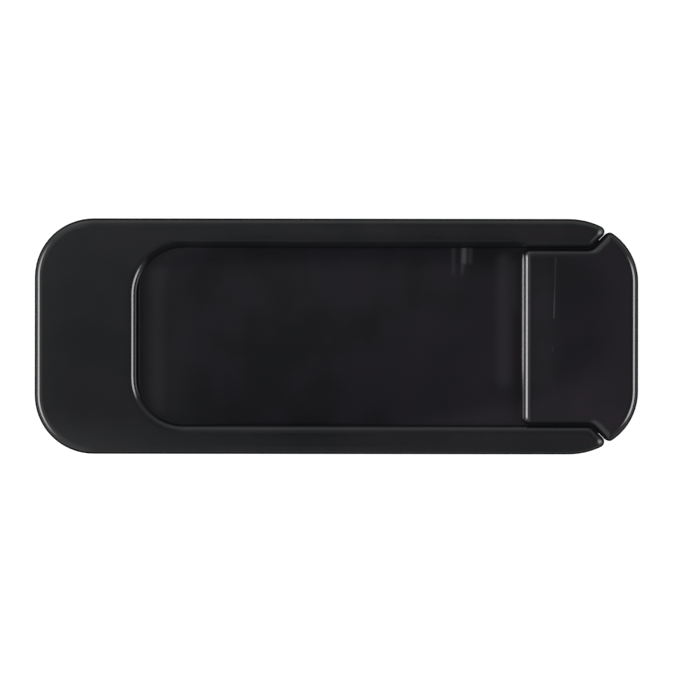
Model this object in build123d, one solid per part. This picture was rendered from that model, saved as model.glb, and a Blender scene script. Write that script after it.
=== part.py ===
from build123d import *
import os
from math import sqrt

# A stick-on webcam cover: a moulded frame with undercut rails, a shutter that slides in them
# to bare the camera window, and the adhesive pad under the frame.
# Millimetres. X runs along the slide towards the grip, Y across it, Z up from the sticky face.
# The origin is the middle of the closed cover's footprint.

# Overall sizes, with the shutter closed
COVER_LENGTH = 41.0
COVER_WIDTH = 16.0

# Frame
FLOOR_THICKNESS = 0.5
LIP_THICKNESS = 0.65
LIP_OVERHANG = 0.6          # how far a lip reaches over the groove below it
RAIL_WIDTH = 1.97           # outer side to lip edge
END_BLOCK_LENGTH = 6.93     # solid end of the frame, up to the recess
END_CORNER_RADIUS = 4.0
RECESS_CORNER_RADIUS = 3.2
FRAME_EDGE_RADIUS = 0.55    # rounding of every top edge
FRAME_BASE_CHAMFER = 0.12
TIP_SETBACK = 3.23          # from the cap's far end back to the inner corner of a rail tip
TIP_TAPER_LENGTH = 4.72     # from the cap's far end back to where a rail starts to curve in
TIP_TAPER_RADIUS = 5.0
TIP_NOSE_RADIUS = 0.4
TIP_INNER_RADIUS = 0.6

# Camera window in the floor
WINDOW_LENGTH = 7.2
WINDOW_WIDTH = 9.0
WINDOW_CORNER_RADIUS = 2.0
WINDOW_LEDGE = 0.5          # floor left between the window and the recess's end wall

# Stops that keep the shutter in the grooves
STOP_HEIGHT = 0.2           # how far a stop stands into the groove
STOP_CREST = 0.35           # flat top of a stop, along the slide
STOP_RAMP = 0.5             # lead-in slope on the open side
STOP_SETBACK = 1.5          # from the groove's mouth back to the stop's catching face
OPEN_TRAVEL = 8.0

# Shutter, its top flush with the rails
PLATE_THICKNESS = 0.55
PLATE_CORNER_RADIUS = 2.0
PLATE_EDGE_RADIUS = 0.12
GRIP_LENGTH = 7.89          # along the slide, cap included
GRIP_CORNER_RADIUS = 0.5
GRIP_EDGE_RADIUS = 0.59
CAP_INSET = 0.28            # cap's sides inside the frame's sides
CAP_CORNER_RADIUS = 4.0
CAP_NOSE_RADIUS = 0.32
CAP_BASE_CHAMFER = 0.12
CAP_LIFT = 0.1              # cap's underside above the frame's underside

# Adhesive pad
PAD_THICKNESS = 0.2
PAD_INSET = 0.6             # pad's edge inside the frame's edge
PAD_CORNER_RADIUS = 1.0     # at the open end
PAD_WINDOW_MARGIN = 0.4     # pad's cut-out beyond the window

# Clearances
FACE_CLEARANCE = 0.05       # plate to floor, and plate to lips
SIDE_CLEARANCE = 0.06       # plate to groove walls and stops
END_CLEARANCE = 0.05        # plate to the recess's end wall, closed
GRIP_CLEARANCE = 0.05       # grip to lip edges
SHOULDER_CLEARANCE = 0.07   # square across the slanted gap between rail tip and cap
STOP_CLEARANCE = 0.05       # plate's catches to the stops, fully open

# Heights
frame_base = PAD_THICKNESS
floor_top = frame_base + FLOOR_THICKNESS
plate_base = floor_top + FACE_CLEARANCE
plate_top = plate_base + PLATE_THICKNESS
lip_base = plate_top + FACE_CLEARANCE
frame_top = lip_base + LIP_THICKNESS
cap_base = frame_base + CAP_LIFT

# Half widths across the slide
frame_side = COVER_WIDTH / 2
lip_side = frame_side - RAIL_WIDTH
groove_side = lip_side + LIP_OVERHANG
plate_side = groove_side - SIDE_CLEARANCE
stop_side = groove_side - STOP_HEIGHT
relief_side = stop_side - SIDE_CLEARANCE
grip_side = lip_side - GRIP_CLEARANCE
cap_side = frame_side - CAP_INSET

# Places along the slide
frame_end = -COVER_LENGTH / 2
cap_end = COVER_LENGTH / 2
recess_end = frame_end + END_BLOCK_LENGTH
plate_end = recess_end + END_CLEARANCE
window_start = recess_end + WINDOW_LEDGE
window_end = window_start + WINDOW_LENGTH
grip_face = cap_end - GRIP_LENGTH
taper_end = cap_end - TIP_TAPER_LENGTH + TIP_TAPER_RADIUS
tip_corner = cap_end - TIP_SETBACK
stop_face = tip_corner + LIP_OVERHANG - STOP_SETBACK
catch_face = stop_face - STOP_CLEARANCE - OPEN_TRAVEL
shoulder_corner = tip_corner - GRIP_CLEARANCE + SHOULDER_CLEARANCE * sqrt(2)
cap_foot = tip_corner + SHOULDER_CLEARANCE
root_start = stop_face + STOP_CREST + STOP_RAMP + STOP_CLEARANCE
root_end = shoulder_corner + plate_side - grip_side


def rounded(sketch, x, y, radius):
    """Round the sketch's corner nearest to a place, and its mirror image across the slide."""
    corners = [sketch.vertices().sort_by_distance((x, side * y))[0] for side in (-1, 1)]
    return fillet(corners, radius)


def block(x_from, x_to, half_width):
    """A rectangle centred across the slide."""
    return Pos((x_from + x_to) / 2, 0) * Rectangle(x_to - x_from, 2 * half_width)


def mitre(corner_x, corner_y):
    """The area past two 45-degree lines that run outwards from a corner and its mirror image."""
    far_x = corner_x + COVER_WIDTH
    far_y = corner_y + COVER_WIDTH
    corners = [(corner_x, -corner_y), (far_x, -far_y), (far_x, far_y), (corner_x, corner_y)]
    return make_face(Polyline(*corners, close=True))


def raised(sketch, base, top):
    """A solid that stands on the sketch's outline between two heights."""
    return extrude(Pos(0, 0, base) * sketch, top - base)


def level_rim(solid, place):
    """The outer edges of a solid's lowest (place 0) or highest (place -1) level face."""
    return solid.faces().filter_by(Axis.Z).sort_by(Axis.Z)[place].outer_wire().edges()


def window(margin):
    """The camera window's outline, grown by a margin all round."""
    opening = block(window_start - margin, window_end + margin, WINDOW_WIDTH / 2 + margin)
    return fillet(opening.vertices(), WINDOW_CORNER_RADIUS + margin)


def groove_stops():
    """A pair of stops in the groove's mouth, square inwards and sloped on the open side."""
    crest_end = stop_face + STOP_CREST
    corners = [
        (stop_face, groove_side),
        (stop_face, stop_side),
        (crest_end, stop_side),
        (crest_end + STOP_RAMP, groove_side),
    ]
    stop = make_face(Polyline(*corners, close=True))
    return raised(stop + mirror(stop, Plane.XZ), floor_top, lip_base)


def build_frame():
    """The moulding: floor, solid end and two undercut rails with slanted tips."""
    outline = block(frame_end, taper_end, frame_side)
    outline = rounded(outline, frame_end, frame_side, END_CORNER_RADIUS)
    outline = rounded(outline, taper_end, frame_side, TIP_TAPER_RADIUS)
    outline -= mitre(tip_corner, lip_side)
    outline = rounded(outline, cap_end, frame_side, TIP_NOSE_RADIUS)

    recess = rounded(block(recess_end, cap_end, lip_side), recess_end, lip_side, RECESS_CORNER_RADIUS)
    recess = rounded(recess + mitre(tip_corner, lip_side), tip_corner, lip_side, TIP_INNER_RADIUS)

    groove_radius = PLATE_CORNER_RADIUS + SIDE_CLEARANCE
    groove = rounded(block(recess_end, cap_end, groove_side), recess_end, groove_side, groove_radius)

    frame = raised(outline, frame_base, frame_top)
    frame -= raised(recess, lip_base, frame_top)
    frame -= raised(groove, floor_top, lip_base)
    frame -= raised(window(0), frame_base, floor_top)
    frame = fillet(level_rim(frame, -1), FRAME_EDGE_RADIUS)
    frame = chamfer(level_rim(frame, 0), FRAME_BASE_CHAMFER)
    return frame + groove_stops()


def build_plate():
    """The sliding plate, stepped in between its catches and its root to pass the groove's stops."""
    wide = rounded(block(plate_end, catch_face, plate_side), plate_end, plate_side, PLATE_CORNER_RADIUS)
    plate = raised(wide, plate_base, plate_top)
    plate = fillet(plate.edges().group_by(Axis.Z)[-1].sort_by(Axis.X)[:3], PLATE_EDGE_RADIUS)
    stem = block(catch_face, root_end, relief_side) + block(root_start, root_end, plate_side)
    return plate + raised(stem, plate_base, plate_top)


def build_shutter():
    """The shutter: the plate, and a grip that widens past the rail tips into a rounded cap."""
    cap = block(grip_face, cap_end, cap_side)
    cap = rounded(cap, cap_end, cap_side, CAP_CORNER_RADIUS) & mitre(shoulder_corner, grip_side)
    cap = rounded(cap, shoulder_corner, cap_side, CAP_NOSE_RADIUS)

    neck = rounded(block(grip_face, cap_foot, grip_side), grip_face, grip_side, GRIP_CORNER_RADIUS)
    throat_radius = TIP_INNER_RADIUS + SHOULDER_CLEARANCE
    grip_outline = rounded(cap + neck, shoulder_corner, grip_side, throat_radius)

    grip = raised(grip_outline, plate_base, frame_top)
    grip = fillet(level_rim(grip, -1), GRIP_EDGE_RADIUS)
    foot = raised(cap & block(cap_foot, cap_end, cap_side), cap_base, plate_base)
    foot = chamfer(level_rim(foot, 0), CAP_BASE_CHAMFER)
    return build_plate() + grip + foot


def build_adhesive_pad():
    """The die-cut pad under the frame, open round the window."""
    pad_side = frame_side - PAD_INSET
    pad_start = frame_end + PAD_INSET
    pad_end = tip_corner - PAD_INSET
    pad = rounded(block(pad_start, pad_end, pad_side), pad_start, pad_side, END_CORNER_RADIUS - PAD_INSET)
    pad = rounded(pad, pad_end, pad_side, PAD_CORNER_RADIUS) - window(PAD_WINDOW_MARGIN)
    return raised(pad, 0, PAD_THICKNESS)


NODES = {"frame": build_frame, "shutter": build_shutter, "adhesive_pad": build_adhesive_pad}

os.makedirs("parts", exist_ok=True)
for name, build in NODES.items():
    export_step(build(), f"parts/{name}.step")
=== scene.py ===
import logging
import math
from collections.abc import Iterable
from dataclasses import dataclass
from enum import Enum
from functools import reduce
from typing import Any

import bpy
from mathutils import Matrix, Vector

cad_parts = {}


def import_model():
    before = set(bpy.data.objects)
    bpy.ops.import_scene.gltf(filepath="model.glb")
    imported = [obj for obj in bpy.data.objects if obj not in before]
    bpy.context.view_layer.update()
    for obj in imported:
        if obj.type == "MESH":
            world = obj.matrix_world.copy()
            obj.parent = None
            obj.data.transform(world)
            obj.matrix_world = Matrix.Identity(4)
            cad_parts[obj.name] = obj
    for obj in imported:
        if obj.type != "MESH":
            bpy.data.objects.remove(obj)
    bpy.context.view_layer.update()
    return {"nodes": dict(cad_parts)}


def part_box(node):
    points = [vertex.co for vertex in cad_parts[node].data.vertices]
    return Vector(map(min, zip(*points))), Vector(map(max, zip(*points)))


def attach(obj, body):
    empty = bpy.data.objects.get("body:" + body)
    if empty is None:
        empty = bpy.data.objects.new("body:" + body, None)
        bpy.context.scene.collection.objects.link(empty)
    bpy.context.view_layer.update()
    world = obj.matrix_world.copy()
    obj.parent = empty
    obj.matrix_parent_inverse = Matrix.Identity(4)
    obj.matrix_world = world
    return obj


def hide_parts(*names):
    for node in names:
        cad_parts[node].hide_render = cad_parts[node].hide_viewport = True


# X runs along the slide from the solid end to the grip, Y across it to the far rail, Z up from the table.
# Sizes of finishes and of the pad are in millimetres, those of the studio in metres.

LOG = logging.getLogger("webcam_cover")
MM = 0.001

# Two sizes, the first along the slide and the second across it
Pair = tuple[float, float]
# The level where a change starts and the level where it is complete
Span = tuple[float, float]
Direction = tuple[float, float, float]
Colour = tuple[float, float, float, float]

WHITE: Colour = (1.0, 1.0, 1.0, 1.0)
UPWARD: Direction = (0.0, 0.0, 1.0)
# Level, between the grip's end and the far rail
TO_FAR_RIGHT: Direction = (0.57, 0.82, 0.0)


class Part(Enum):
    """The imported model's nodes."""

    FRAME = "frame"
    SHUTTER = "shutter"
    PAD = "adhesive_pad"


class Body(Enum):
    """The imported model's body that the new pad rides on."""

    FRAME = "frame"


class Slot(Enum):
    """The record's material slot for the adhesive, which nothing here uses."""

    ADHESIVE = "adhesive"


class Maths(Enum):
    """The Math node's operations that expressions use."""

    ADD = "ADD"
    SUBTRACT = "SUBTRACT"
    MULTIPLY = "MULTIPLY"
    DIVIDE = "DIVIDE"
    ABSOLUTE = "ABSOLUTE"
    SMALLER = "MINIMUM"
    LARGER = "MAXIMUM"
    ROOT = "SQRT"
    SINE = "SINE"


class MixPlace(Enum):
    """Places of the Mix node's colour sockets, which share their names with other sockets."""

    FIRST = 6
    SECOND = 7
    RESULT = 2


class Value:
    """A number on a node's socket that takes part in Python arithmetic by adding Math nodes."""

    def __init__(self, graph: "Graph", socket: bpy.types.NodeSocket) -> None:
        """Keep the socket and the graph that new nodes go into."""
        self.graph = graph
        self.socket = socket

    def _math(self, operation: Maths, *operands: Any) -> "Value":
        """Add one Math node.

        Args:
            operation: what the node works out.
            operands: one or two Values or numbers.

        Returns:
            The node's result.
        """
        settings = {"operation": operation.value}
        return self.graph.add("ShaderNodeMath", settings, dict(enumerate(operands))).value()

    def __add__(self, other: Any) -> "Value":
        """Sum of this and another number."""
        return self._math(Maths.ADD, self, other)

    def __radd__(self, other: Any) -> "Value":
        """Sum with a plain number on the left."""
        return self._math(Maths.ADD, other, self)

    def __sub__(self, other: Any) -> "Value":
        """Difference of this and another number."""
        return self._math(Maths.SUBTRACT, self, other)

    def __rsub__(self, other: Any) -> "Value":
        """Difference with a plain number on the left."""
        return self._math(Maths.SUBTRACT, other, self)

    def __mul__(self, other: Any) -> "Value":
        """Product of this and another number."""
        return self._math(Maths.MULTIPLY, self, other)

    def __rmul__(self, other: Any) -> "Value":
        """Product with a plain number on the left."""
        return self._math(Maths.MULTIPLY, other, self)

    def __truediv__(self, other: Any) -> "Value":
        """Quotient of this and another number."""
        return self._math(Maths.DIVIDE, self, other)

    def __rtruediv__(self, other: Any) -> "Value":
        """Quotient with a plain number on the left."""
        return self._math(Maths.DIVIDE, other, self)

    def __abs__(self) -> "Value":
        """Distance from nought."""
        return self._math(Maths.ABSOLUTE, self)

    def root(self) -> "Value":
        """The square root."""
        return self._math(Maths.ROOT, self)

    def sine(self) -> "Value":
        """The sine of an angle in radians."""
        return self._math(Maths.SINE, self)

    def at_most(self, other: Any) -> "Value":
        """The smaller of this and another number."""
        return self._math(Maths.SMALLER, self, other)

    def at_least(self, other: Any) -> "Value":
        """The larger of this and another number."""
        return self._math(Maths.LARGER, self, other)

    def ramp(self, low: float, high: float) -> "Value":
        """Rise smoothly from 0 at one level to 1 at another.

        Args:
            low: where the result is 0.
            high: where the result is 1; it may lie below low.

        Returns:
            The smoothed share of the way from low to high.
        """
        levels = {"Value": self, "From Min": low, "From Max": high, "To Min": 0.0, "To Max": 1.0}
        node = self.graph.add("ShaderNodeMapRange", {"interpolation_type": "SMOOTHSTEP"}, levels)
        return node.value("Result")


def strongest(shares: Iterable[Value]) -> Value:
    """The largest of several numbers."""
    return reduce(Value.at_least, shares)


class Node:
    """One node of a graph, with its outputs by name or place."""

    def __init__(self, graph: "Graph", node: bpy.types.Node) -> None:
        """Keep the node and its graph."""
        self.graph = graph
        self.node = node

    def out(self, name: str | int = 0) -> bpy.types.NodeSocket:
        """The output socket of that name or place."""
        return self.node.outputs[name]

    def value(self, name: str | int = 0) -> Value:
        """The output of that name or place, as a number for arithmetic."""
        return Value(self.graph, self.out(name))


class Graph:
    """A node tree under construction."""

    def __init__(self, tree: bpy.types.NodeTree) -> None:
        """Start from an empty tree."""
        self.tree = tree
        tree.nodes.clear()

    def add(self, kind: str, settings: dict[str, Any], sockets: dict[str | int, Any]) -> Node:
        """Make one node: its settings first, then its sockets.

        Args:
            kind: Blender's type of node.
            settings: attributes of the node, such as an operation.
            sockets: input name or place to a plain value, a socket, a Node or a Value to link,
                or to a list of those where an input takes several links.

        Returns:
            The new node.
        """
        node = self.tree.nodes.new(kind)
        for name, setting in settings.items():
            setattr(node, name, setting)
        for name, content in sockets.items():
            for one in content if isinstance(content, list) else [content]:
                self.feed(node.inputs[name], one)
        return Node(self, node)

    def feed(self, socket: bpy.types.NodeSocket, content: Any) -> None:
        """Set a plain value on an input socket, or link what gives its value.

        Args:
            socket: the input.
            content: a plain value, a socket, a Node (its first output) or a Value.
        """
        if isinstance(content, Node):
            content = content.out()
        if isinstance(content, Value):
            content = content.socket
        if isinstance(content, bpy.types.NodeSocket):
            self.tree.links.new(content, socket)
        else:
            socket.default_value = content

    def mix(self, share: Any, first: Any, second: Any) -> bpy.types.NodeSocket:
        """Blend two colours.

        Args:
            share: how much of the second, from 0 to 1.
            first: the colour at 0.
            second: the colour at 1.

        Returns:
            The socket of the blended colour.
        """
        inputs = {"Factor": share, MixPlace.FIRST.value: first, MixPlace.SECOND.value: second}
        return self.add("ShaderNodeMix", {"data_type": "RGBA"}, inputs).out(MixPlace.RESULT.value)

    def vector(self, x: Any, y: Any, z: Any) -> Node:
        """Join three numbers into a vector."""
        return self.add("ShaderNodeCombineXYZ", {}, {"X": x, "Y": y, "Z": z})


class Surface:
    """The node graph of one material, with coordinates in millimetres on the piece."""

    def __init__(self, name: str) -> None:
        """Make an empty node material.

        Args:
            name: the material's name.
        """
        self.material = bpy.data.materials.new(name)
        self.material.use_nodes = True
        self.graph = Graph(self.material.node_tree)
        place = self.graph.add("ShaderNodeTexCoord", {}, {}).out("Object")
        scale = {"Vector": place, "Scale": (1 / MM,) * 3}
        self.place = self.graph.add("ShaderNodeMapping", {"vector_type": "POINT"}, scale)
        axes = self.graph.add("ShaderNodeSeparateXYZ", {}, {"Vector": self.place})
        self.x = axes.value("X")
        self.y = axes.value("Y")
        self.z = axes.value("Z")

    def noise(self, size: float, detail: float) -> Value:
        """Soft random variation, about 0.5 on average.

        Args:
            size: how wide a patch is.
            detail: how many finer layers are added.

        Returns:
            The variation, from 0 to 1.
        """
        inputs = {"Vector": self.place, "Scale": 1 / size, "Detail": detail}
        return self.graph.add("ShaderNodeTexNoise", {"noise_dimensions": "3D"}, inputs).value()

    def facing(self, direction: Direction) -> Value:
        """How far the piece's own surface looks in a direction.

        Args:
            direction: a unit vector on the piece.

        Returns:
            1 where the surface looks straight that way, 0 where it stands square to it.
        """
        normal = self.graph.add("ShaderNodeTexCoord", {}, {}).out("Normal")
        pair = {0: normal, 1: direction}
        return self.graph.add("ShaderNodeVectorMath", {"operation": "DOT_PRODUCT"}, pair).value("Value")

    def bump(self, height: Value, depth: float) -> Node:
        """Tilt the surface's normal by a height.

        Args:
            height: the height, as a share of the depth.
            depth: how high a height of 1 stands.

        Returns:
            The Bump node.
        """
        return self.graph.add("ShaderNodeBump", {}, {"Height": height, "Distance": depth * MM})

    def finish(self, shader: Node) -> bpy.types.Material:
        """Send a shader to the material's output and hand the material over."""
        self.graph.add("ShaderNodeOutputMaterial", {}, {"Surface": shader})
        return self.material


@dataclass(frozen=True)
class Streak:
    """A mark that runs straight over a face.

    Attributes:
        start: where it begins.
        end: where it stops.
        half_width: from its middle line to its edge.
        fades: the lengths over which it comes up at its start and dies away at its end.
        strength: how far its middle takes on the mark's colour. Above 1, its edges get steeper.
    """

    start: Pair
    end: Pair
    half_width: float
    fades: Span
    strength: float

    def mask(self, surface: Surface) -> Value:
        """Where the mark shows.

        Args:
            surface: the material that carries the mark.

        Returns:
            The mark's strength, 0 outside it.
        """
        length = math.dist(self.start, self.end)
        along = ((self.end[0] - self.start[0]) / length, (self.end[1] - self.start[1]) / length)
        from_x = surface.x - self.start[0]
        from_y = surface.y - self.start[1]
        run = from_x * along[0] + from_y * along[1]
        off = abs(from_x * along[1] - from_y * along[0])
        across = off.ramp(self.half_width, 0.0)
        ends = run.ramp(0.0, self.fades[0]) * run.ramp(length, length - self.fades[1])
        return across * ends * self.strength


@dataclass(frozen=True)
class WearAndPaintedLight:
    """Marks of one kind on a moulding's upper side. Some kinds are scratches and dull places, others are
    painted highlights and reflections.

    Attributes:
        streaks: the marks.
        colour: what the surface turns to where a mark is at full strength.
        roughness: how much rougher the surface is there.
        heights: the marks lie on faces above this span.
    """

    streaks: tuple[Streak, ...]
    colour: Colour = (0.09, 0.09, 0.095, 1.0)
    roughness: float = 0.25
    heights: Span = (1.0, 1.05)

    def share(self, surface: Surface) -> Value:
        """How far the marks show.

        Args:
            surface: the material that carries the marks.

        Returns:
            The strength of the strongest mark, at most 1.
        """
        marked = strongest(streak.mask(surface) for streak in self.streaks)
        return marked.at_most(1.0) * surface.z.ramp(*self.heights)


@dataclass(frozen=True)
class MattZone:
    """A strip along the cover's outline whose steep faces are matt.

    Attributes:
        inset: how far inside the outline the strip starts and is complete.
        slope: how far a face looks up where it starts to turn matt and where it is wholly so.
        turn: how far a face looks along TO_FAR_RIGHT where it starts to count and where it wholly
            does. As it stands here, every face counts.
        stretch: where along the slide the strip has ended and where it is still whole. As it stands
            here, it runs past the cover's end.
    """

    inset: Span
    slope: Span
    turn: Span = (2.0, 1.0)
    stretch: Span = (22.0, 21.0)

    def share(self, inside: Value, surface: Surface) -> Value:
        """How matt the surface is.

        Args:
            inside: the distance inside the outline.
            surface: the material that has the strip.

        Returns:
            The matt share, from 0 to 1.
        """
        strip = inside.ramp(*self.inset) * surface.x.ramp(*self.stretch)
        steep = surface.facing(UPWARD).ramp(*self.slope)
        return strip * (steep * surface.facing(TO_FAR_RIGHT).ramp(*self.turn))


OUTER_SIDES = MattZone(inset=(1.0, 0.7), slope=(0.79, 0.62))
RAIL_SIDES = MattZone(inset=(2.6, 2.3), slope=(0.50, 0.30))
# The far rail's rounded inner edge, as far as the grip
RECESS_EDGE = MattZone(inset=(0.9, 1.2), slope=(1.0, 0.92), turn=(0.0, -0.12), stretch=(13.2, 12.2))


@dataclass(frozen=True)
class PolishedBlack:
    """A black moulding: polished above, matt on its sides, with faint flow clouds, scratches, dull places
    and painted highlights and reflections.

    Attributes:
        name: the material's name.
        colour: the plastic.
        cloud_colour: the plastic where it flowed together.
        matt_zones: the strips along the outline that are matt.
        wear_and_painted_light: painted reflection bands, a painted highlight, a paler band, streaks,
            scratches and dull places, each kind with its own colour.
    """

    name: str
    colour: Colour
    cloud_colour: Colour
    matt_zones: tuple[MattZone, ...] = (OUTER_SIDES, RAIL_SIDES)
    wear_and_painted_light: tuple[WearAndPaintedLight, ...] = ()
    refraction: float = 1.6
    cloud_size: float = 3.6
    cloud_detail: float = 3.0
    cloud_span: Span = (0.3, 0.7)
    roughness: float = 0.02
    smear_size: float = 2.4
    smear_detail: float = 4.0
    smear_roughness: float = 0.02
    peel_size: float = 0.35
    peel_detail: float = 2.0
    peel_depth: float = 0.0002
    outline_half: Pair = (20.5, 8.0)
    outline_radius: float = 4.0

    def material(self) -> bpy.types.Material:
        """Build the node material.

        Returns:
            The finished material.
        """
        surface = Surface(self.name)
        graph = surface.graph
        clouds = surface.noise(self.cloud_size, self.cloud_detail).ramp(*self.cloud_span)
        colour = graph.mix(clouds, self.colour, self.cloud_colour)
        smears = surface.noise(self.smear_size, self.smear_detail)
        roughness = self.roughness + smears * self.smear_roughness
        # Some marks paint highlights and reflections into the colour
        for wear_and_painted_light in self.wear_and_painted_light:
            marked = wear_and_painted_light.share(surface)
            colour = graph.mix(marked, colour, wear_and_painted_light.colour)
            roughness = roughness + marked * wear_and_painted_light.roughness
        peel = surface.noise(self.peel_size, self.peel_detail)
        inputs = {
            "Base Color": colour,
            "Roughness": roughness,
            "IOR": self.refraction,
            "Normal": surface.bump(peel, self.peel_depth),
        }
        polished = graph.add("ShaderNodeBsdfPrincipled", {}, inputs)
        inputs = {"Base Color": colour, "Roughness": 1.0, "Specular IOR Level": 0.0}
        matt = graph.add("ShaderNodeBsdfPrincipled", {}, inputs)
        sides = {0: self._matt(surface), 1: polished, 2: matt}
        return surface.finish(graph.add("ShaderNodeMixShader", {}, sides))

    def _matt(self, surface: Surface) -> Value:
        """Where the moulding is matt: on the steep faces near the cover's rounded outline.

        Args:
            surface: the material under construction.

        Returns:
            The matt share, from 0 to 1.
        """
        past_x = (abs(surface.x) - (self.outline_half[0] - self.outline_radius)).at_least(0.0)
        past_y = (abs(surface.y) - (self.outline_half[1] - self.outline_radius)).at_least(0.0)
        inside = self.outline_radius - (past_x * past_x + past_y * past_y).root()
        return strongest(zone.share(inside, surface) for zone in self.matt_zones)


@dataclass(frozen=True)
class FoamTape:
    """Pale closed-cell foam tape with a tacky face."""

    name: str = "pad_foam"
    colour: Colour = (0.62, 0.62, 0.58, 1.0)
    cell_colour: Colour = (0.48, 0.48, 0.45, 1.0)
    cell_size: float = 0.11
    cell_span: Span = (0.2, 0.8)
    cell_share: float = 0.7
    cell_depth: float = 0.006
    cloud_size: float = 3.0
    cloud_detail: float = 3.0
    cloud_share: float = 0.3
    roughness: float = 0.48
    cloud_roughness: float = 0.2

    def material(self) -> bpy.types.Material:
        """Build the node material.

        Returns:
            The finished material.
        """
        surface = Surface(self.name)
        graph = surface.graph
        inputs = {"Vector": surface.place, "Scale": 1 / self.cell_size}
        cells = graph.add("ShaderNodeTexVoronoi", {"feature": "F1"}, inputs).value("Distance")
        clouds = surface.noise(self.cloud_size, self.cloud_detail)
        share = cells.ramp(*self.cell_span) * self.cell_share + clouds * self.cloud_share
        inputs = {
            "Base Color": graph.mix(share.at_most(1.0), self.colour, self.cell_colour),
            "Roughness": self.roughness + clouds * self.cloud_roughness,
            "Normal": surface.bump(cells, self.cell_depth),
        }
        return surface.finish(graph.add("ShaderNodeBsdfPrincipled", {}, inputs))


@dataclass(frozen=True)
class PaleFloor:
    """A pale table that looks white and keeps a faint shadow.

    Attributes:
        colour: what the table throws back on the object.
        shade: the part of the table's look that light and shadow change.
        glow: the part that stays, which lifts the table to white.
    """

    name: str = "pale_floor"
    colour: Colour = (0.82, 0.82, 0.82, 1.0)
    roughness: float = 0.9
    grain_size: float = 8.0
    grain_detail: float = 2.0
    grain_roughness: float = 0.02
    shade: Colour = (0.38, 0.38, 0.38, 1.0)
    glow: float = 0.785

    def material(self) -> bpy.types.Material:
        """Build the node material.

        Returns:
            The finished material.
        """
        surface = Surface(self.name)
        graph = surface.graph
        rays = graph.add("ShaderNodeLightPath", {}, {})
        seen = strongest(map(rays.value, ("Is Camera Ray", "Is Glossy Ray", "Is Transmission Ray")))
        grain = surface.noise(self.grain_size, self.grain_detail) * self.grain_roughness
        inputs = {"Color": self.colour, "Roughness": grain + self.roughness}
        matte = graph.add("ShaderNodeBsdfDiffuse", {}, inputs)
        shaded = graph.add("ShaderNodeBsdfDiffuse", {}, {"Color": self.shade})
        glow = graph.add("ShaderNodeEmission", {}, {"Color": WHITE, "Strength": self.glow})
        white = graph.add("ShaderNodeAddShader", {}, {0: shaded, 1: glow})
        return surface.finish(graph.add("ShaderNodeMixShader", {}, {0: seen, 1: matte, 2: white}))


@dataclass
class Moulding:
    """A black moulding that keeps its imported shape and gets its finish.

    Attributes:
        part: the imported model's node.
        finish: what it looks like.
    """

    part: Part
    finish: PolishedBlack

    def build(self, nodes: dict[str, bpy.types.Object]) -> bpy.types.Object:
        """Dress the moulding.

        Args:
            nodes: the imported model's objects by name.

        Returns:
            The dressed object.
        """
        piece = nodes[self.part.value]
        piece.data.materials[0] = self.finish.material()
        return piece


# Where the far and the near rail's tip have lost their polish
DULL_TIPS = tuple(
    Streak((17.55, y), (18.5, y), half_width=0.45, fades=(0.25, 0.01), strength=1.5)
    for y in (7.06, -7.06)
)


@dataclass
class MouldedFrame(Moulding):
    """The frame: floor, solid end and two rails, with a matt edge at the recess and duller tips."""

    part: Part = Part.FRAME
    finish: PolishedBlack = PolishedBlack(
        "frame_black",
        colour=(0.0060, 0.0069, 0.0079, 1.0),
        cloud_colour=(0.0093, 0.0092, 0.0106, 1.0),
        matt_zones=(OUTER_SIDES, RAIL_SIDES, RECESS_EDGE),
        wear_and_painted_light=(WearAndPaintedLight(DULL_TIPS, colour=(0.0077, 0.0081, 0.0093, 1.0), roughness=0.35),),
    )


# Marks on the shutter's upper side. The first are lighter bands near both ends of the plate, a painted
# reflection.
PLATE_PAINTED_REFLECTIONS = (
    Streak((-12.15, 5.1), (-12.15, -5.9), half_width=1.2, fades=(0.8, 1.2), strength=0.073),
    Streak((-10.9, 4.9), (-10.9, -5.9), half_width=1.9, fades=(1.5, 1.2), strength=0.027),
    Streak((11.4, 5.9), (11.4, -4.0), half_width=0.9, fades=(0.8, 1.2), strength=0.075),
    Streak((12.0, 5.7), (12.0, 0.8), half_width=0.8, fades=(0.8, 1.8), strength=0.05),
)
# A paler band down the grip's middle
GRIP_PALE_BAND = (
    Streak((14.0, 5.9), (14.0, -5.0), half_width=1.5, fades=(2.5, 2.5), strength=0.045),
)
# Short streaks from under the far rail's lip
RUB_MARKS = (
    Streak((7.95, 6.1), (7.95, 3.95), half_width=0.26, fades=(0.02, 0.5), strength=0.09),
    Streak((8.68, 6.1), (8.64, 4.75), half_width=0.30, fades=(0.02, 0.35), strength=0.38),
    Streak((8.62, 5.3), (8.5, 3.95), half_width=0.22, fades=(0.3, 0.7), strength=0.16),
    Streak((9.1, 6.1), (9.05, 4.8), half_width=0.30, fades=(0.02, 0.3), strength=0.10),
)
# A hairline in two strengths, and a speck further down
GRIP_SCRATCHES = (
    Streak((14.85, 5.6), (14.72, 1.2), half_width=0.09, fades=(0.3, 0.1), strength=0.14),
    Streak((14.81, 4.2), (14.72, 1.2), half_width=0.09, fades=(2.0, 0.1), strength=0.32),
    Streak((14.62, -0.62), (14.62, -1.1), half_width=0.08, fades=(0.12, 0.12), strength=0.16),
)
# A painted highlight: a pale line in the corner between the plate and the grip's face
GRIP_FOOT_PAINTED_HIGHLIGHT = (
    Streak((12.665, 5.7), (12.665, -3.9), half_width=0.07, fades=(0.8, 3.2), strength=2.0),
)


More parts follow.
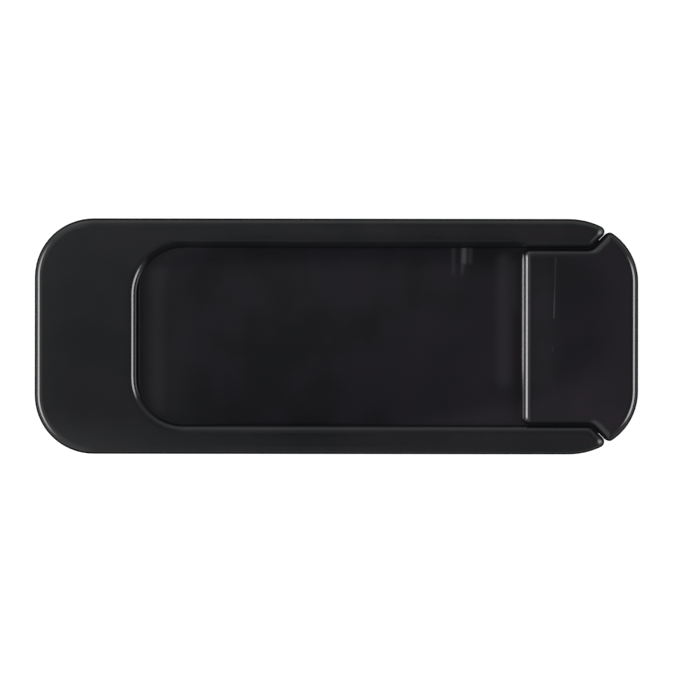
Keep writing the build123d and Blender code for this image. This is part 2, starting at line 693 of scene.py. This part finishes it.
@dataclass
class SlidingShutter(Moulding):
    """The shutter: a thin plate with a raised grip, and the marks on both, among them painted reflection
    bands and a painted highlight.
    """

    part: Part = Part.SHUTTER
    finish: PolishedBlack = PolishedBlack(
        "shutter_black",
        colour=(0.0069, 0.0072, 0.0086, 1.0),
        cloud_colour=(0.0102, 0.0093, 0.0118, 1.0),
        wear_and_painted_light=(
            # Painted reflection bands on the plate, a paler band on the grip, streaks and scratches
            WearAndPaintedLight(PLATE_PAINTED_REFLECTIONS + GRIP_PALE_BAND + RUB_MARKS + GRIP_SCRATCHES),
            # A painted highlight along the grip's foot
            WearAndPaintedLight(GRIP_FOOT_PAINTED_HIGHLIGHT, colour=(0.24, 0.24, 0.25, 1.0), roughness=0.5),
        ),
    )


@dataclass
class AdhesivePad:
    """The die-cut foam pad under the frame, open round the camera window.

    Attributes:
        end_radius: its corners at the frame's solid end.
        mouth_radius: its corners at the rail tips.
        edge_sink: how far the foam's edges sink in between the two faces.
        weld: points nearer than this become one.
        sharp_angle: faces that meet at more degrees than this keep a crisp edge.
    """

    end_radius: float = 3.4
    mouth_radius: float = 1.0
    window_start: float = -13.47
    window_length: float = 8.0
    window_width: float = 9.8
    window_radius: float = 2.4
    corner_steps: int = 16
    edge_rows: int = 7
    edge_sink: float = 0.03
    weld: float = 0.001
    sharp_angle: float = 40.0
    finish: FoamTape = FoamTape()

    def build(self) -> bpy.types.Object:
        """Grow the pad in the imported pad's place.

        Returns:
            The finished pad.
        """
        piece = bpy.data.objects.new("foam_pad", bpy.data.meshes.new("foam_pad"))
        bpy.context.scene.collection.objects.link(piece)
        piece.data = self._grow(piece)
        # The grown mesh starts with an empty material slot
        piece.data.materials.pop(index=0)
        piece.data.shade_smooth()
        piece.data.set_sharp_from_angle(angle=math.radians(self.sharp_angle))
        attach(piece, Body.FRAME.value)
        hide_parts(Part.PAD.value)
        return piece

    def _grow(self, piece: bpy.types.Object) -> bpy.types.Mesh:
        """Cut the pad by Geometry Nodes.

        Args:
            piece: the empty object that carries the nodes meanwhile.

        Returns:
            The pad as a plain mesh.
        """
        sizes = self._sizes()
        grower = piece.modifiers.new("die_cut", "NODES")
        grower.node_group, keys = self._tree(sizes)
        for name, size in sizes.items():
            grower[keys[name]] = size
        depsgraph = bpy.context.evaluated_depsgraph_get()
        grown = bpy.data.meshes.new_from_object(piece.evaluated_get(depsgraph))
        piece.modifiers.remove(grower)
        return grown

    def _sizes(self) -> dict[str, Any]:
        """What the tree takes, with sizes in metres.

        Returns:
            Input name to size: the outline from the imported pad, the rest from this class.
        """
        low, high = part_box(Part.PAD.value)
        return {
            "Start": low.x,
            "Length": high.x - low.x,
            "Width": high.y - low.y,
            "Thickness": high.z - low.z,
            "End Radius": self.end_radius * MM,
            "Mouth Radius": self.mouth_radius * MM,
            "Window Start": self.window_start * MM,
            "Window Length": self.window_length * MM,
            "Window Width": self.window_width * MM,
            "Window Radius": self.window_radius * MM,
            "Edge Sink": self.edge_sink * MM,
            "Foam": self.finish.material(),
        }

    def _tree(self, sizes: dict[str, Any]) -> tuple[bpy.types.NodeTree, dict[str, str]]:
        """Build the Geometry Nodes tree that cuts the pad.

        Args:
            sizes: what the tree takes, by name.

        Returns:
            The tree, and its inputs' identifiers by name.
        """
        tree = bpy.data.node_groups.new("die_cut_pad", "GeometryNodeTree")
        keys: dict[str, str] = {}
        for name, size in sizes.items():
            kind = "NodeSocketMaterial" if isinstance(size, bpy.types.Material) else "NodeSocketFloat"
            keys[name] = tree.interface.new_socket(name, in_out="INPUT", socket_type=kind).identifier
        tree.interface.new_socket("Pad", in_out="OUTPUT", socket_type="NodeSocketGeometry")
        graph = Graph(tree)
        given = graph.add("NodeGroupInput", {}, {})
        names = ("Start", "Length", "Width", "End Radius", "Mouth Radius")
        rim = self._outline(graph, *map(given.value, names))
        names = ("Window Start", "Window Length", "Window Width", "Window Radius", "Window Radius")
        hole = self._outline(graph, *map(given.value, names))
        hole = graph.add("GeometryNodeReverseCurve", {}, {"Curve": hole})
        edges = graph.add("GeometryNodeJoinGeometry", {}, {"Geometry": [rim, hole]})
        solid = self._solid(graph, edges, given.value("Thickness"), given.value("Edge Sink"))
        solid = graph.add("GeometryNodeRealizeInstances", {}, {"Geometry": solid})
        dressed = {"Geometry": solid, "Material": given.out("Foam")}
        solid = graph.add("GeometryNodeSetMaterial", {}, dressed)
        graph.add("NodeGroupOutput", {}, {"Pad": solid})
        return tree, keys

    def _outline(
        self, graph: Graph, start: Value, length: Value, width: Value, near: Value, far: Value
    ) -> Node:
        """A rounded rectangle about the slide's axis.

        Args:
            graph: the tree under construction.
            start: where the rectangle begins along the slide.
            length: its size along the slide.
            width: its size across the slide.
            near: corner radius at its start.
            far: corner radius at its other end.

        Returns:
            The node that gives the closed curve.
        """
        sides = {"Width": length, "Height": width}
        curve = graph.add("GeometryNodeCurvePrimitiveQuadrilateral", {"mode": "RECTANGLE"}, sides)
        place = graph.add("GeometryNodeInputPosition", {}, {})
        along = graph.add("ShaderNodeSeparateXYZ", {}, {"Vector": place}).value("X")
        less = {"data_type": "FLOAT", "operation": "LESS_THAN"}
        is_near = graph.add("FunctionNodeCompare", less, {"A": along, "B": 0.0})
        choice = {"Switch": is_near, "False": far, "True": near}
        radius = graph.add("GeometryNodeSwitch", {"input_type": "FLOAT"}, choice)
        bend = {"Curve": curve, "Count": self.corner_steps, "Radius": radius}
        curve = graph.add("GeometryNodeFilletCurve", {"mode": "POLY"}, bend)
        centre = graph.vector(start + length / 2, 0.0, 0.0)
        return graph.add("GeometryNodeTransform", {}, {"Geometry": curve, "Translation": centre})

    def _solid(self, graph: Graph, edges: Node, thickness: Value, sink: Value) -> Node:
        """Fill the outlines below and above and close them with foam edges that sink in a little.

        Args:
            graph: the tree under construction.
            edges: the node that gives the outlines.
            thickness: the pad's height.
            sink: how far an edge's middle lies inside its rims.

        Returns:
            The node that gives the closed solid.
        """
        face = graph.add("GeometryNodeFillCurve", {"mode": "TRIANGLES"}, {"Curve": edges})
        under = graph.add("GeometryNodeFlipFaces", {}, {"Mesh": face})
        lift = {"Geometry": face, "Translation": graph.vector(0.0, 0.0, thickness)}
        over = graph.add("GeometryNodeTransform", {}, lift)
        line = {"Start": graph.vector(0.0, 0.0 - thickness, 0.0), "End": (0.0, 0.0, 0.0)}
        rise = graph.add("GeometryNodeCurvePrimitiveLine", {"mode": "POINTS"}, line)
        steps = {"Curve": rise, "Count": self.edge_rows}
        rise = graph.add("GeometryNodeResampleCurve", {"mode": "COUNT"}, steps)
        share = graph.add("GeometryNodeSplineParameter", {}, {}).value("Factor")
        inwards = graph.vector(0.0 - (share * math.pi).sine() * sink, 0.0, 0.0)
        rise = graph.add("GeometryNodeSetPosition", {}, {"Geometry": rise, "Offset": inwards})
        upright = graph.add("GeometryNodeSetCurveNormal", {"mode": "Z_UP"}, {"Curve": edges})
        wall = graph.add("GeometryNodeCurveToMesh", {}, {"Curve": upright, "Profile Curve": rise})
        whole = graph.add("GeometryNodeJoinGeometry", {}, {"Geometry": [under, over, wall]})
        weld = {"Geometry": whole, "Distance": self.weld * MM}
        return graph.add("GeometryNodeMergeByDistance", {"mode": "ALL"}, weld)


@dataclass
class SoftLight:
    """A rectangular soft light that faces the object's middle and fades towards its two sides.

    Attributes:
        name: the light's name.
        azimuth: where it stands round the object, in degrees from the grip's end.
        elevation: how high it stands, in degrees above the table.
        width: its level side.
        radiance: how bright its middle looks.
        fade: the outer share of its width over which it dims.
        height: its other side.
        distance: from the object's middle to its own.
    """

    name: str
    azimuth: float
    elevation: float
    width: float
    radiance: float
    fade: float
    height: float = 0.42
    distance: float = 0.90

    def build(self) -> bpy.types.Object:
        """Make the light.

        Returns:
            The light's object.
        """
        lamp = bpy.data.lights.new(self.name, "AREA")
        lamp.shape = "RECTANGLE"
        lamp.size = self.width
        lamp.size_y = self.height
        lamp.energy = self.radiance * math.pi * self.width * self.height
        self._fade_sides(lamp)
        azimuth = math.radians(self.azimuth)
        elevation = math.radians(self.elevation)
        level = math.cos(elevation)
        away = Vector((level * math.cos(azimuth), level * math.sin(azimuth), math.sin(elevation)))
        light = bpy.data.objects.new(self.name, lamp)
        light.location = away * self.distance
        light.rotation_euler = away.to_track_quat("Z", "Y").to_euler()
        light.visible_camera = False
        bpy.context.scene.collection.objects.link(light)
        return light

    def _fade_sides(self, lamp: bpy.types.AreaLight) -> None:
        """Dim the light smoothly towards its two sides.

        Args:
            lamp: the light's data.
        """
        lamp.use_nodes = True
        graph = Graph(lamp.node_tree)
        place = graph.add("ShaderNodeNewGeometry", {}, {}).out("Parametric")
        across = graph.add("ShaderNodeSeparateXYZ", {}, {"Vector": place}).value("X")
        off_middle = abs(across * 2.0 - 1.0)
        strength = off_middle.ramp(1.0, 1.0 - self.fade)
        glow = graph.add("ShaderNodeEmission", {}, {"Color": WHITE, "Strength": strength})
        graph.add("ShaderNodeOutputLight", {}, {"Surface": glow})


@dataclass(frozen=True)
class DimRoom:
    """The light from all round: a faint middle straight above, a paler ring round it, and a dim room.

    A direction is known by its parts x along the slide and y across it. Level faces show what lies near
    x = y = 0, and rounded edges show the rest.
    """

    # The middle, a rectangle that the plate and the grip show
    middle: float = 0.062
    middle_x: float = 0.014
    middle_half: Pair = (0.103, 0.042)
    middle_skew: float = 0.15
    middle_right: float = 0.2
    middle_far: float = 1.5
    middle_far_reach: Span = (0.075, 0.035)
    middle_fade: Span = (0.78, 0.60)
    middle_whole: Span = (0.066, 0.076)
    # The ring, which the rails and both ends show, with a brighter corner and a brighter rim
    ring: float = 0.168
    ring_right: float = 0.12
    ring_far: float = 1.1
    ring_twist: float = 14.0
    ring_start: Span = (0.85, 0.985)
    ring_end: Span = (1.35, 1.9)
    corner: float = 0.20
    corner_near: Span = (-0.028, -0.046)
    corner_left: Span = (0.01, -0.13)
    rim: float = 0.12
    rim_start: Span = (1.14, 1.38)
    rim_left: Span = (0.0, -0.06)
    left_tint: Colour = (0.98, 1.0, 1.0, 1.0)
    right_tint: Colour = (1.0, 0.76, 0.93, 1.0)
    tint_reach: Span = (-0.04, 0.12)
    # The room, which the rounded edges show
    room: float = 0.07
    left_glow: float = 0.45
    left_glow_reach: Span = (0.05, -0.35)
    right_haze: float = 0.15
    right_haze_reach: Span = (0.3, 0.8)
    far_glow: float = 0.45
    far_glow_reach: Span = (0.5, 1.1)
    far_haze: float = 0.10
    far_haze_reach: Span = (0.0, 0.4)
    near_haze: float = 0.09
    near_haze_reach: Span = (-0.03, -0.3)

    def build(self) -> bpy.types.World:
        """Make the world and light the scene with it.

        Returns:
            The world.
        """
        world = bpy.data.worlds.new("studio")
        world.use_nodes = True
        graph = Graph(world.node_tree)
        direction = graph.add("ShaderNodeTexCoord", {}, {}).out("Generated")
        axes = graph.add("ShaderNodeSeparateXYZ", {}, {"Vector": direction})
        x = axes.value("X")
        y = axes.value("Y")
        share_x = (x - self.middle_x) / self.middle_half[0]
        near_y = (y - x.at_least(0.0) * self.middle_skew).at_most(0.0)
        share_y = (y.at_least(0.0) + near_y) / self.middle_half[1]
        off = self._distance(share_x, share_y)
        beyond = off.ramp(*self.ring_end)
        middle = self._middle(x, y, share_y)
        above = middle + (self._ring(x, y, off) - middle) * off.ramp(*self.ring_start)
        strength = above + (self._room(x, y) - above) * beyond
        tint = graph.mix(x.ramp(*self.tint_reach), self.left_tint, self.right_tint)
        colour = graph.mix(beyond, tint, WHITE)
        back = graph.add("ShaderNodeBackground", {}, {"Color": colour, "Strength": strength})
        graph.add("ShaderNodeOutputWorld", {}, {"Surface": back})
        bpy.context.scene.world = world
        return world

    def _distance(self, share_x: Value, share_y: Value) -> Value:
        """How far off a direction lies from the middle, 1 on a rectangle with rounded corners.

        Args:
            share_x: the direction's part along the slide, as a share of the middle's half size.
            share_y: its part across the slide, likewise.

        Returns:
            The fourth root of the sum of the fourth powers.
        """
        square_x = share_x * share_x
        square_y = share_y * share_y
        return (square_x * square_x + square_y * square_y).root().root()

    def _middle(self, x: Value, y: Value, share_y: Value) -> Value:
        """The faint light straight above, which the level faces show.

        Args:
            x: the direction's part along the slide.
            y: its part across the slide.
            share_y: that part, as a share of the middle's half size.

        Returns:
            The strength, brighter to the right and, near the centre, to the far side. It dies away
            towards the far edge, except on the right.
        """
        slope = abs(x).ramp(*self.middle_far_reach) * self.middle_far
        strength = self.middle + x.at_least(0.0) * self.middle_right + y * slope
        return strength * share_y.ramp(*self.middle_fade).at_least(x.ramp(*self.middle_whole))

    def _ring(self, x: Value, y: Value, off: Value) -> Value:
        """The paler light round the middle, which the rails and the ends show.

        Args:
            x: the direction's part along the slide.
            y: its part across the slide.
            off: how far off the direction lies from the middle.

        Returns:
            The strength, with one brighter corner and a brighter rim on the left.
        """
        corner = y.ramp(*self.corner_near) * x.ramp(*self.corner_left) * self.corner
        far = self.ring_far - x.at_least(0.0) * self.ring_twist
        rim = off.ramp(*self.rim_start) * x.ramp(*self.rim_left) * self.rim
        return self.ring + x * self.ring_right + y * far + corner + rim

    def _room(self, x: Value, y: Value) -> Value:
        """The dim room further out, which the rounded edges show.

        Args:
            x: the direction's part along the slide.
            y: its part across the slide.

        Returns:
            The strength, brighter on the left and on the far side.
        """
        left = x.ramp(*self.left_glow_reach) * self.left_glow
        right = x.ramp(*self.right_haze_reach) * self.right_haze
        far = y.ramp(*self.far_glow_reach) * self.far_glow + y.ramp(*self.far_haze_reach) * self.far_haze
        near = y.ramp(*self.near_haze_reach) * self.near_haze
        return self.room + left + right + far + near


@dataclass
class Studio:
    """The table, two soft lights and the dim room round them."""

    floor_size: float = 3.0
    floor_drop: float = 0.01 * MM
    floor_finish: PaleFloor = PaleFloor()
    room: DimRoom = DimRoom()
    lights: tuple[SoftLight, ...] = (
        SoftLight("left_light", azimuth=185.0, elevation=33.0, width=1.38, radiance=8.3, fade=1.0),
        SoftLight("right_light", azimuth=-5.5, elevation=32.0, width=0.96, radiance=7.4, fade=0.6),
    )

    def build(self) -> None:
        """Make everything that stands round the object."""
        self.build_floor()
        self.room.build()
        for light in self.lights:
            light.build()

    def build_floor(self) -> bpy.types.Object:
        """Lay the table under the object.

        Returns:
            The floor's object.
        """
        half = self.floor_size / 2
        level = -self.floor_drop
        corners = [(x * half, y * half, level) for x, y in ((-1, -1), (1, -1), (1, 1), (-1, 1))]
        mesh = bpy.data.meshes.new("floor")
        mesh.from_pydata(corners, [], [(0, 1, 2, 3)])
        mesh.materials.append(self.floor_finish.material())
        floor = bpy.data.objects.new("floor", mesh)
        bpy.context.scene.collection.objects.link(floor)
        return floor


@dataclass
class PhotoCamera:
    """The camera straight above the cover, framed as in the photograph.

    Attributes:
        image_px: the picture's side.
        cover_px: the cover's length in the picture.
        centre_px: the cover's middle in the picture, from its left and from its top.
        roll: the camera's turn about its own axis, in degrees.
        rim_height: the height at which the cover's outline is widest.
        clip: how many times nearer and further than the cover the camera still sees.
    """

    image_px: float = 673.0
    cover_px: float = 603.7
    cover_length: float = 41.0 * MM
    centre_px: Pair = (336.47, 336.39)
    roll: float = 0.08
    lens: float = 135.0
    sensor: float = 36.0
    rim_height: float = 1.55 * MM
    clip: float = 50.0

    def build(self) -> bpy.types.Object:
        """Make the camera and use it for the render.

        Returns:
            The camera's object.
        """
        px = self.cover_length / self.cover_px
        distance = self.image_px * px * self.lens / self.sensor
        data = bpy.data.cameras.new("photo_camera")
        data.lens = self.lens
        data.sensor_width = self.sensor
        data.clip_start = distance / self.clip
        data.clip_end = distance * self.clip
        camera = bpy.data.objects.new("photo_camera", data)
        off_x = (self.image_px / 2 - self.centre_px[0]) * px
        off_y = (self.centre_px[1] - self.image_px / 2) * px
        camera.location = (off_x, off_y, self.rim_height + distance)
        camera.rotation_euler = (0.0, 0.0, math.radians(self.roll))
        bpy.context.scene.collection.objects.link(camera)
        bpy.context.scene.camera = camera
        return camera


def main() -> None:
    """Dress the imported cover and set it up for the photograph's view."""
    logging.basicConfig(level=logging.INFO, format="%(name)s: %(message)s")
    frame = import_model()
    nodes = frame["nodes"]
    for piece in (MouldedFrame().build(nodes), SlidingShutter().build(nodes), AdhesivePad().build()):
        LOG.info("%s: %d faces in %s", piece.name, len(piece.data.polygons), piece.data.materials[0].name)
    Studio().build()
    PhotoCamera().build()
    bpy.context.scene.view_settings.view_transform = "Standard"


if __name__ == "__main__":
    main()
